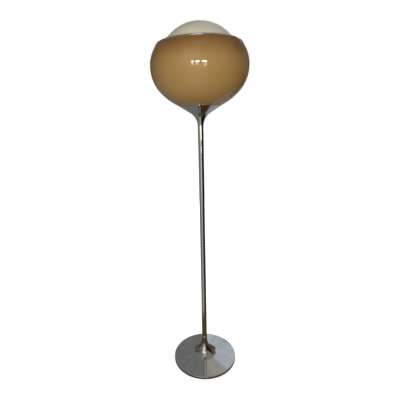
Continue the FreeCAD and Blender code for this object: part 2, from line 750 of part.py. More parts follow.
def trim_ring():
    """Spun ring over the bowl's edge, with a sunk ledge for the dome."""
    return turned_body("trim_ring", [
        ("ring_web_inner", "bowl_top", "ring_inner_arc", "left"),
        ("ring_well_outer", "bowl_top"),
        ("ring_well_outer", "ring_ledge_top - ring_wall"),
        ("ring_ledge_radius", "ring_ledge_top - ring_wall"),
        ("ring_ledge_radius", "ring_ledge_top"),
        ("ring_well_radius", "ring_ledge_top"),
        ("ring_well_radius", "ring_top"),
        ("ring_web_outer", "ring_top"),
        ("ring_bottom_outer", "ring_bottom", "ring_outer_arc", "right"),
        ("ring_bottom_inner", "ring_bottom"),
    ])


def dome_diffuser():
    """Opal cap with a flat flange that lies loose on the ring's ledge."""
    return turned_body("dome_diffuser", [
        ("0", "dome_top - dome_wall", "dome_inner_arc", "left"),
        ("0", "dome_top"),
        ("dome_fillet_centre * dome_fillet_share",
         "dome_centre + dome_fillet_rise * dome_fillet_share", "dome_radius", "right"),
        ("dome_fillet_centre", "dome_flange_top", "dome_fillet_radius", "left"),
        ("dome_flange_radius", "dome_flange_top"),
        ("dome_flange_radius", "dome_seat"),
        ("dome_mouth_radius", "dome_seat"),
    ])


# Lampholder and bulb

def lampholder_cap():
    return turned_body("lampholder_cap", [
        ("rod_hole_radius", "rod_top"),
        ("rod_hole_radius", "holder_bottom"),
        ("holder_collar_radius", "holder_bottom"),
        ("holder_collar_radius", "holder_bottom + holder_collar_height"),
        ("holder_radius - holder_cap_rounding", "holder_bottom + holder_collar_height"),
        ("holder_radius", "holder_bottom + holder_collar_height + holder_cap_rounding",
         "holder_cap_rounding", "left"),
        ("holder_radius", "holder_split"),
        ("holder_inner_radius", "holder_split"),
        ("holder_inner_radius", "insert_level"),
        ("holder_cavity_radius", "insert_level"),
        ("holder_cavity_radius", "rod_top"),
    ])


def lampholder_insert():
    """Ceramic core, hollow underneath for the lead's end."""
    return turned_body("lampholder_insert", [
        ("0", "insert_top"),
        ("0", "lead_top"),
        ("insert_well_radius", "lead_top"),
        ("insert_well_radius", "insert_level"),
        ("holder_inner_radius - turned_gap", "insert_level"),
        ("holder_inner_radius - turned_gap", "insert_top"),
    ])


def lampholder_barrel():
    return turned_body("lampholder_barrel", [
        ("holder_inner_radius", "holder_split"),
        ("holder_radius", "holder_split"),
        ("holder_radius", "holder_top - holder_wall"),
        ("holder_radius - holder_wall", "holder_top", "holder_wall", "left"),
        ("holder_mouth_radius", "holder_top"),
        ("holder_mouth_radius", "holder_top - holder_wall"),
        ("holder_barrel_bore", "holder_top - holder_wall"),
        ("holder_barrel_bore", "insert_top"),
        ("holder_inner_radius", "insert_top"),
    ])


def centre_contact():
    """Spring strip with one end on the core and the other raised under the bulb's tip."""
    body = new_body("centre_contact")
    strip = new_sketch(body, "YZ_Plane")
    draw(strip, [
        ("-contact_reach", "insert_top"),
        ("-contact_bend", "insert_top"),
        ("0", "contact_top - contact_thickness"),
        ("contact_bend", "contact_top - contact_thickness"),
        ("contact_bend", "contact_top"),
        ("0", "contact_top"),
        ("-contact_bend", "insert_top + contact_thickness"),
        ("-contact_reach", "insert_top + contact_thickness"),
    ])
    bent = pad(body, strip, "contact_width")
    bent.Midplane = True
    return body


def bulb_glass():
    inner_sphere = "bulb_radius - bulb_glass_wall"
    meet_share = "bulb_arc_centre / bulb_arc_reach"
    drop_share = "bulb_arc_drop / bulb_arc_reach"
    return turned_body("bulb_glass", [
        ("0", "bulb_centre + bulb_radius - bulb_glass_wall", inner_sphere, "left"),
        ("0", "bulb_centre + bulb_radius"),
        (f"bulb_radius * {meet_share}", f"bulb_centre - bulb_radius * {drop_share}",
         "bulb_radius", "right"),
        ("bulb_neck_radius", "bulb_centre - bulb_arc_drop", "bulb_neck_arc_radius", "left"),
        ("bulb_neck_radius", "bulb_cap_top"),
        ("bulb_neck_radius - bulb_glass_wall", "bulb_cap_top"),
        ("bulb_neck_radius - bulb_glass_wall", "bulb_centre - bulb_arc_drop"),
        (f"({inner_sphere}) * {meet_share}", f"bulb_centre - ({inner_sphere}) * {drop_share}",
         "bulb_neck_arc_radius + bulb_glass_wall", "right"),
    ])


def bulb_cap():
    """Thin cap whose rolled thread is drawn as rounded rings."""
    points = [("bulb_cap_inner", "bulb_cap_top"), ("bulb_cap_inner", "bulb_cap_bottom"),
              ("thread_middle_radius", "bulb_cap_bottom")]
    for half_turn in range(2 * THREAD_TURNS):
        points.append(("thread_middle_radius",
                       f"bulb_cap_bottom + bulb_thread_pitch * {half_turn + 1} / 2",
                       "thread_arc_radius", "left" if half_turn % 2 == 0 else "right"))
    points.append(("thread_middle_radius", "bulb_cap_top"))
    return turned_body("bulb_cap", points)


def bulb_insulator():
    return turned_body("bulb_insulator", [
        ("0", "bulb_tip_top"),
        ("bulb_insulator_radius", "bulb_tip_top"),
        ("thread_middle_radius", "bulb_cap_bottom"),
        ("0", "bulb_cap_bottom"),
    ])


def bulb_contact():
    return turned_body("bulb_contact", [
        ("0", "bulb_bottom"),
        ("bulb_tip_radius - bulb_tip_height", "bulb_bottom"),
        ("bulb_tip_radius", "bulb_tip_top", "bulb_tip_height", "left"),
        ("0", "bulb_tip_top"),
    ])


parts = [
    base_shell(),
    base_weight(),
    felt_disc(),
    cable_bush(),
    terminal_block(),
    terminal_screws(),
    block_screw(),
    tube("base_washer", "rod_hole_radius", "base_washer_radius", "base_nut_top", "well_top"),
    hexagon_nut("base_nut", "base_nut_bottom"),
    tube("tie_rod", "rod_bore_radius", "rod_radius", "rod_bottom", "rod_top"),
    stem_bush("lower_stem_bush", "base_top", "+", "-"),
    stem_tube(),
    stem_bush("upper_stem_bush", "stem_top", "-", "+"),
    stem_lead(),
    cup_shell(),
    cup_washer(),
    hexagon_nut("cup_nut", "cup_washer_top"),
    tube("lower_shade_gasket", "cup_lip_inner", "cup_lip_inner + shade_gasket_width",
         "cup_top", "bowl_bottom"),
    shade_bowl(),
    tube("upper_shade_gasket", "gallery_radius - shade_gasket_width", "gallery_radius",
         "bowl_floor_top", "gallery_bottom"),
    gallery_plate(),
    tube("gallery_washer", "rod_hole_radius", "gallery_washer_radius",
         "gallery_dish_top", "gallery_washer_top"),
    hexagon_nut("gallery_nut", "gallery_washer_top"),
    trim_ring(),
    dome_diffuser(),
    lampholder_cap(),
    lampholder_insert(),
    lampholder_barrel(),
    tube("lampholder_sleeve", "sleeve_radius", "sleeve_radius + sleeve_wall",
         "insert_top", "insert_top + sleeve_height"),
    centre_contact(),
    bulb_glass(),
    bulb_cap(),
    bulb_insulator(),
    bulb_contact(),
]
doc.recompute()

for item in doc.Objects:
    if "Invalid" in item.State or "Error" in item.State:
        raise RuntimeError(f"{item.Label}: {item.State}")

os.makedirs("parts", exist_ok=True)
for body in parts:
    shape = body.Shape
    if shape.isNull() or not shape.isValid() or shape.Volume <= 0:
        raise RuntimeError(f"{body.Label} has no sound shape")
    shape.exportStep(f"parts/{body.Label}.step")
    limits = shape.optimalBoundingBox(False)
    print(f"{body.Label:20s} {len(shape.Solids)} solid  {shape.Volume / 1000:9.2f} cm3"
          f"  z {limits.ZMin:8.2f} to {limits.ZMax:8.2f}  width {limits.XLength:7.2f}")
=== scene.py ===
"""Visible model of a floor lamp: chrome trumpet foot and stem, caramel bowl shade, opal dome."""
import math

import bpy
from mathutils import Matrix, Vector


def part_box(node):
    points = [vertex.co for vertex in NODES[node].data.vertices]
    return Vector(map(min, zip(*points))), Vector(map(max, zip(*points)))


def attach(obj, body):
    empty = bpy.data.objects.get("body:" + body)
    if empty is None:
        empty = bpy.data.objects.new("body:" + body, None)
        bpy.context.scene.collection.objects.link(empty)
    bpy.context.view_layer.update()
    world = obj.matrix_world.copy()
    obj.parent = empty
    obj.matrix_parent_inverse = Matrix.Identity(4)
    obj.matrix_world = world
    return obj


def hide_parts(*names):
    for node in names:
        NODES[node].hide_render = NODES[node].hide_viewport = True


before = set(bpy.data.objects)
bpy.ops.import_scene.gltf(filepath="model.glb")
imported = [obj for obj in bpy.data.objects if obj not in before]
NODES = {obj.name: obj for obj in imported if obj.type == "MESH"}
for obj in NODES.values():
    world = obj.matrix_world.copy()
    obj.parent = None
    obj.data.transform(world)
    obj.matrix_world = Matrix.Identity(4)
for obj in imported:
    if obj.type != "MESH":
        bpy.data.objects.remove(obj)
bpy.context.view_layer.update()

bl_info = {
    "name": "Floor Lamp",
    "version": (1, 0, 0),
    "blender": (4, 5, 0),
    "location": "View3D > Sidebar > Floor Lamp",
    "description": "Builds a chrome floor lamp with a round acrylic shade",
    "category": "Object",
}

POINT_SIZE = 0.001
MERGE_DISTANCE = 1e-6
SMOOTH_ANGLE = math.radians(40)
BEVEL_SEGMENTS = 2
# Facets round the lamp's axis
FACETS = {"foot": 192, "stem": 128, "cup": 160, "bowl": 192, "ring": 192, "dome": 192, "bulb": 96,
          "holder": 96}


def low(node):
    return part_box(node)[0]


def high(node):
    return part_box(node)[1]


# Sizes and colours

def length(name, default, description):
    return bpy.props.FloatProperty(name=name, description=description, default=default,
                                   min=0.0, unit="LENGTH", subtype="DISTANCE")


def angle(name, default, description):
    return bpy.props.FloatProperty(name=name, description=description, default=default, subtype="ANGLE")


def number(name, default, description):
    return bpy.props.FloatProperty(name=name, description=description, default=default)


def colour(name, default, description):
    return bpy.props.FloatVectorProperty(name=name, description=description, default=default,
                                         size=3, min=0.0, max=1.0, subtype="COLOR")


class FLOORLAMP_PG_sizes(bpy.types.PropertyGroup):
    """Sizes that the frame's boxes don't give."""
    shell_wall: length("Shell wall", 0.0015, "Wall of the spun foot and cup")
    stem_wall: length("Stem wall", 0.001, "Wall of the stem's tube")
    edge_break: length("Edge break", 0.0003, "Small chamfer where two chromed pieces meet")
    foot_slope: angle("Foot slope", math.radians(8.5), "Fall of the foot's low cone")
    foot_rim_height: length("Rim height", 0.0115, "Height of the cone's edge above the floor")
    foot_rim_rounding: length("Rim rounding", 0.0016, "Rounding of the foot's rim")
    neck_arc_radius: length("Neck arc", 0.132, "Upper arc of the trumpet foot")
    neck_arc_turn: angle("Neck turn", math.radians(27.5), "How far the upper arc turns")
    cup_slope: angle("Cup slope", math.radians(31.7), "Rise of the cup's straight cone")
    cup_edge_radius: length("Cup edge", 0.0803, "Radius where cone and lip of the cup would meet")
    cup_arc_radius: length("Cup arc", 0.060, "Arc between the cup's neck and cone")
    cup_lip_width: length("Cup lip", 0.009, "Lip that carries the bowl")
    cup_lip_rounding: length("Cup edge rounding", 0.0004, "Rounding of the cup's edge")
    bowl_wall: length("Bowl wall", 0.003, "Wall of the acrylic bowl")
    belly_height: length("Belly height", 0.1392, "Widest level of the bowl above the cup")
    upper_arc_radius: length("Upper arc", 0.120, "Arc of the bowl above its belly")
    lower_arc_radius: length("Lower arc", 0.1316, "Arc of the bowl under its belly")
    lower_arc_turn: angle("Lower turn", math.radians(43.0), "How far the lower arc turns")
    bottom_arc_radius: length("Bottom arc", 0.210, "Flatter arc towards the bowl's foot")
    bottom_arc_turn: angle("Bottom turn", math.radians(60.5), "Lean of the bowl's wall at its foot")
    floor_hole_radius: length("Floor hole", 0.058, "Hole in the bowl's floor")
    # Painted shade: how far the darkened colour reaches under the bowl's mouth and above its foot
    painted_shade_below_mouth: length("Deeper mouth", 0.085, "How far the deeper colour reaches under the mouth")
    painted_shade_above_foot: length("Deeper foot", 0.045, "How far the deeper colour reaches above the foot")
    ring_wall: length("Ring wall", 0.001, "Sheet of the trim ring")
    ring_gap: length("Ring gap", 0.00015, "Room between ring and bowl")
    ring_drop: length("Ring drop", 0.005, "Depth of the ledge under the ring's top")
    ring_ledge: length("Ring ledge", 0.007, "Width of the ledge that carries the dome")
    ring_bevel: length("Ring bevel", 0.00025, "Broken edges of the ring")
    dome_radius: length("Dome radius", 0.1581, "Radius of the opal cap")
    dome_wall: length("Dome wall", 0.003, "Wall of the opal cap")
    dome_fillet: length("Dome fillet", 0.004, "Fillet between cap and flange")
    dome_bevel: length("Dome bevel", 0.0005, "Broken edges of the flange")
    notch_width: length("Notch width", 0.0074, "Notch in the rim for the flex outlet")
    notch_height: length("Notch height", 0.0054, "Height of the notch above the rim's edge")
    notch_reach: length("Notch reach", 0.012, "Length of the notch's cut across the rim")
    holder_wall: length("Lampholder wall", 0.002, "Wall of the lampholder")
    holder_mouth_radius: length("Lampholder mouth", 0.0146, "Opening of the lampholder")
    holder_grooves: bpy.props.IntProperty(name="Lampholder grooves", default=4, min=0, max=8,
                                          description="Grip grooves round the lampholder")
    groove_depth: length("Groove depth", 0.0004, "Depth of a groove, also the height of its flanks")
    groove_floor: length("Groove floor", 0.0006, "Height of a groove's floor")
    bulb_radius: length("Bulb radius", 0.030, "Round part of the bulb")
    bulb_neck_radius: length("Bulb neck", 0.0134, "Neck of the bulb")
    bulb_neck_arc: length("Bulb neck arc", 0.050, "Arc between neck and round part")
    bulb_wall: length("Bulb wall", 0.0008, "Wall of the bulb's glass")


class FLOORLAMP_PG_colours(bpy.types.PropertyGroup):
    """Base colours, linear."""
    chrome: colour("Chrome", (0.57, 0.575, 0.58), "Polished chrome plate")
    caramel: colour("Caramel", (0.37, 0.226, 0.078), "Acrylic of the bowl")
    # Painted shade: tints that darken the bowl's colour at its mouth and its foot
    mouth_shade_tint: colour("Mouth tint", (0.60, 0.44, 0.27), "Deeper colour at the bowl's mouth")
    foot_shade_tint: colour("Foot tint", (0.80, 0.80, 0.78), "Deeper colour at the bowl's foot")
    opal: colour("Opal", (0.77, 0.715, 0.575), "Acrylic of the dome")
    iron: colour("Iron", (0.10, 0.10, 0.11), "Cast weight")
    felt: colour("Felt", (0.05, 0.06, 0.05), "Felt under the foot")
    rubber: colour("Rubber", (0.03, 0.03, 0.03), "Flex outlet")
    gasket: colour("Gasket", (0.22, 0.22, 0.21), "Gaskets of the shade")
    steel: colour("Steel", (0.56, 0.56, 0.55), "Nuts, washers, rod and plate")
    aluminium: colour("Aluminium", (0.74, 0.74, 0.75), "Turned bushes and the bulb's cap")
    brass: colour("Brass", (0.72, 0.55, 0.25), "Screw sleeve and contact")
    sheath: colour("Sheath", (0.72, 0.70, 0.64), "Flat twin lead")
    phenolic: colour("Phenolic", (0.05, 0.035, 0.03), "Lampholder")
    moulding: colour("Moulding", (0.80, 0.78, 0.72), "Terminal block")
    ceramic: colour("Ceramic", (0.84, 0.83, 0.78), "Lampholder core")
    bulb: colour("Bulb", (0.92, 0.91, 0.87), "Coated bulb")
    black_glass: colour("Black glass", (0.02, 0.02, 0.02), "Insulator of the bulb's cap")


class FLOORLAMP_PG_view(bpy.types.PropertyGroup):
    """Where the camera stands and how it looks at the lamp."""
    distance: length("Distance", 1.239479, "Camera in front of the lamp's axis")
    height: length("Height", 1.073207, "Camera above the floor")
    look_down: angle("Look down", 0.2471, "How far the camera looks down")
    turn: angle("Turn", -0.0321, "How far the camera turns to the right")
    roll: angle("Roll", 0.0263, "How far the camera leans")
    focal_pixels: number("Focal length in pixels", 309.0, "Focal length for an image 400 pixels wide")
    centre_pixel: number("Centre pixel", 192.4, "Where the camera's axis meets the image")


def sizes():
    return bpy.context.scene.floorlamp_sizes


def colours():
    return bpy.context.scene.floorlamp_colours


# Outlines: points (radius from the axis, height), in metres

def arc(centre, radius, start, end, step):
    """Points along an arc, both ends included: angles in radians from the outward horizontal,
    and the step between points in degrees."""
    count = max(2, math.ceil(abs(math.degrees(end - start)) / step))
    turns = [start + (end - start) * index / count for index in range(count + 1)]
    return [(centre[0] + radius * math.cos(turn), centre[1] + radius * math.sin(turn)) for turn in turns]


def straight(first, last, count):
    """Points between two points, both left out."""
    across, up = last[0] - first[0], last[1] - first[1]
    return [(first[0] + across * index / count, first[1] + up * index / count) for index in range(1, count)]


def rising_arc(centre, radius, bottom, top):
    """Arc about a centre, between two heights, on the outward side."""
    start = math.asin((bottom - centre[1]) / radius)
    end = math.asin((top - centre[1]) / radius)
    return arc(centre, radius, start, end, step=3.0)


# Making pieces

def pick_nothing():
    """Leave edit mode and let go of every object."""
    if bpy.context.object and bpy.context.object.mode != "OBJECT":
        bpy.ops.object.mode_set(mode="OBJECT")
    bpy.ops.object.select_all(action="DESELECT")


def pick(piece):
    """Make one object the only one that is picked."""
    pick_nothing()
    piece.select_set(True)
    bpy.context.view_layer.objects.active = piece


def spun(name, outline, facets):
    """Draw an outline vertex by vertex, close it and spin it about the lamp's axis."""
    pick_nothing()
    bpy.ops.mesh.primitive_plane_add(size=POINT_SIZE, location=(outline[0][0], 0, outline[0][1]))
    piece = bpy.context.object
    piece.name = piece.data.name = name
    bpy.ops.object.transform_apply(location=True, rotation=False, scale=False)
    bpy.ops.object.mode_set(mode="EDIT")
    bpy.ops.mesh.select_mode(type="VERT")
    bpy.ops.mesh.select_all(action="SELECT")
    bpy.ops.mesh.merge(type="CENTER")
    for first, last in zip(outline, outline[1:]):
        bpy.ops.mesh.extrude_region_move(
            TRANSFORM_OT_translate={"value": (last[0] - first[0], 0, last[1] - first[1])})
    bpy.ops.object.mode_set(mode="OBJECT")
    for vertex in (piece.data.vertices[0], piece.data.vertices[-1]):
        vertex.select = True
    bpy.ops.object.mode_set(mode="EDIT")
    bpy.ops.mesh.edge_face_add()
    bpy.ops.mesh.select_all(action="SELECT")
    bpy.ops.mesh.spin(steps=facets, angle=math.tau, center=(0, 0, 0), axis=(0, 0, 1))
    bpy.ops.mesh.select_all(action="SELECT")
    bpy.ops.mesh.remove_doubles(threshold=MERGE_DISTANCE)
    bpy.ops.mesh.normals_make_consistent(inside=False)
    bpy.ops.object.mode_set(mode="OBJECT")
    bpy.ops.object.shade_smooth_by_angle(angle=SMOOTH_ANGLE)
    return piece


def finish_piece(piece, material, slot, body, *nodes):
    """Give a new piece its finish and its place in the frame."""
    piece.data.materials.clear()
    piece.data.materials.append(material)
    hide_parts(*nodes)
    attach(piece, body)


# Finishes

ACRYLIC_IOR = 1.49


class Finish:
    """One material: its shader and short ways to wire noise into it."""

    def __init__(self, name, colour, roughness, metallic=0.0):
        self.material = bpy.data.materials.get(name) or bpy.data.materials.new(name)
        self.material.use_nodes = True
        self.tree = self.material.node_tree
        self.tree.nodes.clear()
        self.shader = self.node("ShaderNodeBsdfPrincipled")
        self.output = self.node("ShaderNodeOutputMaterial")
        self.surface(self.shader.outputs["BSDF"])
        self.set("Base Color", (*colour, 1.0))
        self.set("Roughness", roughness)
        self.set("Metallic", metallic)
        self.colour = tuple(colour)
        self.place = self.node("ShaderNodeTexCoord").outputs["Object"]

    def node(self, kind, **settings):
        made = self.tree.nodes.new(kind)
        for key, value in settings.items():
            setattr(made, key, value)
        return made

    def set(self, socket, value):
        self.shader.inputs[socket].default_value = value

    def link(self, output, socket):
        self.tree.links.new(output, socket)

    def surface(self, shader):
        self.link(shader, self.output.inputs["Surface"])

    def noise(self, scale, detail=4.0, roughness=0.55, stretch=(1, 1, 1)):
        mapping = self.node("ShaderNodeMapping")
        mapping.inputs["Scale"].default_value = stretch
        self.link(self.place, mapping.inputs["Vector"])
        texture = self.node("ShaderNodeTexNoise")
        texture.inputs["Scale"].default_value = scale
        texture.inputs["Detail"].default_value = detail
        texture.inputs["Roughness"].default_value = roughness
        self.link(mapping.outputs["Vector"], texture.inputs["Vector"])
        return texture.outputs["Fac"]

    def remap(self, value, least, most, start=0.3, end=0.7):
        """Bring a value from a range, at first the one that noise mostly keeps to, to another."""
        ranged = self.node("ShaderNodeMapRange")
        for socket, limit in (("From Min", start), ("From Max", end), ("To Min", least), ("To Max", most)):
            ranged.inputs[socket].default_value = limit
        self.link(value, ranged.inputs["Value"])
        return ranged.outputs["Result"]

    def mottle(self, value, darker, lighter):
        """Colour between two shades of the base colour."""
        mix = self.node("ShaderNodeMix", data_type="RGBA")
        mix.inputs["A"].default_value = (*[channel * darker for channel in self.colour], 1.0)
        mix.inputs["B"].default_value = (*[min(channel * lighter, 1.0) for channel in self.colour], 1.0)
        self.link(value, mix.inputs["Factor"])
        self.link(mix.outputs["Result"], self.shader.inputs["Base Color"])
        return mix.outputs["Result"]

    def paint_shade(self, value, start, end, tint, colour):
        """Painted shade: multiply a colour by a tint that sets in between two values."""
        mix = self.node("ShaderNodeMix", data_type="RGBA", blend_type="MULTIPLY")
        mix.inputs["B"].default_value = (*tint, 1.0)
        self.link(ramp(self.tree, value, start, end), mix.inputs["Factor"])
        self.link(colour, mix.inputs["A"])
        return mix.outputs["Result"]

    def rough(self, value, least, most):
        self.link(self.remap(value, least, most), self.shader.inputs["Roughness"])

    def bump(self, value, height):
        bump = self.node("ShaderNodeBump")
        bump.inputs["Strength"].default_value = 1.0
        bump.inputs["Distance"].default_value = height
        self.link(value, bump.inputs["Height"])
        self.link(bump.outputs["Normal"], self.shader.inputs["Normal"])

    def cloud(self, weight, depth, radius=None):
        """Let some light spread under the surface, farther in some colours if a radius is given."""
        self.set("Subsurface Weight", weight)
        self.set("Subsurface Scale", depth)
        if radius:
            self.set("Subsurface Radius", radius)


def chrome():
    """Mirror plate with faint haze and the faintest waviness from polishing."""
    finish = Finish("chrome", colours().chrome, 0.05, metallic=1.0)
    finish.rough(finish.noise(9.0, detail=6.0), 0.025, 0.07)
    finish.mottle(finish.noise(3.0), 0.97, 1.02)
    finish.bump(finish.noise(14.0, detail=1.0), 0.00002)
    return finish.material


def caramel_acrylic():
    """Glossy acrylic, slightly cloudy inside, with painted shade: a darker colour near its edge and its
    foot.
    """
    finish = Finish("caramel_acrylic", colours().caramel, 0.03)
    mottled_and_shaded = finish.mottle(finish.noise(7.0, detail=3.0), 0.96, 1.04)
    split = finish.node("ShaderNodeSeparateXYZ")
    finish.link(finish.place, split.inputs["Vector"])
    mouth, seat = high("shade_bowl").z, low("shade_bowl").z
    size, shade = sizes(), colours()
    level = split.outputs["Z"]
    # Painted shade: the colour darkens towards the mouth and towards the foot, standing in for the light
    # falling off there
    mottled_and_shaded = finish.paint_shade(level, mouth - size.painted_shade_below_mouth, mouth, shade.mouth_shade_tint, mottled_and_shaded)
    mottled_and_shaded = finish.paint_shade(level, seat + size.painted_shade_above_foot, seat, shade.foot_shade_tint, mottled_and_shaded)
    finish.link(mottled_and_shaded, finish.shader.inputs["Base Color"])
    finish.rough(finish.noise(60.0, detail=5.0), 0.02, 0.04)
    finish.bump(finish.noise(11.0, detail=1.0), 0.00001)
    finish.set("IOR", ACRYLIC_IOR)
    finish.cloud(0.15, 0.006, (1.0, 0.5, 0.2))
    return finish.material


def opal_acrylic():
    """Cloudy acrylic with a soft sheen."""
    finish = Finish("opal_acrylic", colours().opal, 0.30)
    finish.mottle(finish.noise(6.0, detail=3.0), 0.98, 1.02)
    finish.rough(finish.noise(50.0, detail=4.0), 0.27, 0.30)
    finish.bump(finish.noise(9.0, detail=1.0), 0.00002)
    finish.set("IOR", ACRYLIC_IOR)
    finish.set("Specular IOR Level", 0.3)
    finish.cloud(0.15, 0.008, (1.0, 0.8, 0.55))
    return finish.material


def cast_iron():
    """Dark, grainy casting."""
    finish = Finish("cast_iron", colours().iron, 0.75, metallic=0.6)
    grain = finish.noise(240.0, detail=8.0, roughness=0.7)
    finish.mottle(grain, 0.7, 1.4)
    finish.rough(grain, 0.6, 0.9)
    finish.bump(grain, 0.0005)
    return finish.material


def felt():
    """Pressed fibres that run one way."""
    finish = Finish("felt", colours().felt, 0.95)
    fibres = finish.noise(700.0, detail=6.0, roughness=0.7, stretch=(1, 2.5, 1))
    finish.mottle(fibres, 0.6, 1.7)
    finish.bump(fibres, 0.0006)
    finish.set("Sheen Weight", 0.4)
    return finish.material


def rubber(name, shade):
    """Dull, fine skin."""
    finish = Finish(name, shade, 0.6)
    skin = finish.noise(300.0, detail=5.0)
    finish.mottle(skin, 0.85, 1.2)
    finish.rough(skin, 0.5, 0.7)
    finish.bump(skin, 0.00005)
    return finish.material


def bare_metal(name, shade, least, most, stretch):
    """Plated or turned metal whose marks run one way."""
    finish = Finish(name, shade, 0.35, metallic=1.0)
    marks = finish.noise(160.0, detail=6.0, stretch=stretch)
    finish.mottle(marks, 0.88, 1.08)
    finish.rough(marks, least, most)
    finish.bump(marks, 0.00003)
    return finish.material


def moulded(name, shade, least, most, grain=0.00004, coat=0.0):
    """Plastic or ceramic between two roughnesses, with or without a glaze."""
    finish = Finish(name, shade, (least + most) / 2)
    skin = finish.noise(180.0, detail=4.0)
    finish.mottle(skin, 0.93, 1.07)
    finish.rough(skin, least, most)
    finish.bump(skin, grain)
    finish.set("Coat Weight", coat)
    return finish.material


def bulb_glass():
    """White coating behind clear, even glass."""
    finish = Finish("opal_glass", colours().bulb, 0.25)
    finish.mottle(finish.noise(20.0), 0.98, 1.01)
    finish.rough(finish.noise(30.0), 0.22, 0.3)
    finish.set("Coat Weight", 1.0)
    finish.set("Coat Roughness", 0.03)
    finish.cloud(0.3, 0.004)
    return finish.material


def dress(material, *nodes):
    """Give carried-over CAD nodes their finish."""
    for node in nodes:
        mesh = NODES[node].data
        mesh.materials.clear()
        mesh.materials.append(material)


# Pieces

class FLOORLAMP_OT_foot(bpy.types.Operator):
    """Spin the trumpet foot and cut the notch for the flex outlet"""
    bl_idname = "floorlamp.foot"
    bl_label = "Foot"

    def execute(self, context):
        size = sizes()
        wall, slope, turn = size.shell_wall, size.foot_slope, size.neck_arc_turn
        radius, top, floor_gap = high("base_shell").x, high("base_shell").z, low("base_shell").z
        stem = high("stem_tube").x
        neck_centre = (stem + size.neck_arc_radius, top)
        neck_end = (neck_centre[0] - size.neck_arc_radius * math.cos(turn),
                    top - size.neck_arc_radius * math.sin(turn))
        steep = math.pi / 2 - slope
        fall = neck_end[1] - size.foot_rim_height - (radius - neck_end[0]) * math.tan(slope)
        foot_radius = fall / (math.sin(steep) - math.sin(turn)
                              - (math.cos(turn) - math.cos(steep)) * math.tan(slope))
        foot_centre = (neck_end[0] + foot_radius * math.cos(turn),
                       neck_end[1] + foot_radius * math.sin(turn))
        foot_end = (foot_centre[0] - foot_radius * math.cos(steep),
                    foot_centre[1] - foot_radius * math.sin(steep))
        rim = size.foot_rim_rounding
        tangent = rim * math.tan(steep / 2)
        rim_centre = (radius - rim, size.foot_rim_height - tangent)
        rim_start = (rim_centre[0] + rim * math.sin(slope), rim_centre[1] + rim * math.cos(slope))
        inner_rim = (radius - wall, size.foot_rim_height + wall * math.tan(slope) - wall / math.cos(slope))
        inner_end = (foot_end[0] - wall * math.sin(slope), foot_end[1] - wall * math.cos(slope))
        break_turn = math.asin(size.edge_break / size.neck_arc_radius)
        outline = [(stem - wall, top), (stem - size.edge_break, top)]
        outline += arc(neck_centre, size.neck_arc_radius, math.pi + break_turn, math.pi + turn, step=1.5)
        outline += arc(foot_centre, foot_radius, math.pi + turn, math.pi + steep, step=2.5)[1:]
        outline += straight(foot_end, rim_start, count=12)
        outline += arc(rim_centre, rim, math.pi / 2 - slope, 0, step=8.0)
        outline += [(radius, floor_gap + size.edge_break), (radius - size.edge_break, floor_gap),
                    (radius - wall, floor_gap), inner_rim]
        outline += arc(foot_centre, foot_radius + wall, math.pi + steep, math.pi + turn, step=4.0)
        outline += arc(neck_centre, size.neck_arc_radius + wall, math.pi + turn, math.pi, step=3.0)[1:-1]
        foot = spun("foot_shell", outline, FACETS["foot"])
        cut_notch(foot)
        finish_piece(foot, chrome(), "chrome", "lamp", "base_shell")
        return {"FINISHED"}


def cut_notch(foot):
    """Take the flex outlet's notch out of the rim at the back, with a block half under the rim."""
    size = sizes()
    rim, back = low("base_shell").z, high("base_shell").y
    pick_nothing()
    bpy.ops.mesh.primitive_cube_add(size=1.0, location=(0, back, rim))
    cutter = bpy.context.object
    cutter.scale = (size.notch_width, size.notch_reach, 2 * size.notch_height)
    bpy.ops.object.transform_apply(location=True, rotation=True, scale=True)
    pick(foot)
    notch = foot.modifiers.new("notch", "BOOLEAN")
    notch.object = cutter
    notch.operation = "DIFFERENCE"
    bpy.ops.object.modifier_apply(modifier=notch.name)
    bpy.data.objects.remove(cutter)
    bpy.ops.object.shade_smooth_by_angle(angle=SMOOTH_ANGLE)


class FLOORLAMP_OT_stem(bpy.types.Operator):
    """Spin the straight tube with its broken edges"""
    bl_idname = "floorlamp.stem"
    bl_label = "Stem"

    def execute(self, context):
        size = sizes()
        radius, bottom, top = high("stem_tube").x, low("stem_tube").z, high("stem_tube").z
        bore, edge = radius - size.stem_wall, size.edge_break
        outline = [(bore, bottom), (radius - edge, bottom), (radius, bottom + edge)]
        outline += straight((radius, bottom + edge), (radius, top - edge), count=24)
        outline += [(radius, top - edge), (radius - edge, top), (bore, top)]
        stem = spun("stem", outline, FACETS["stem"])
        finish_piece(stem, chrome(), "chrome", "lamp", "stem_tube")
        return {"FINISHED"}


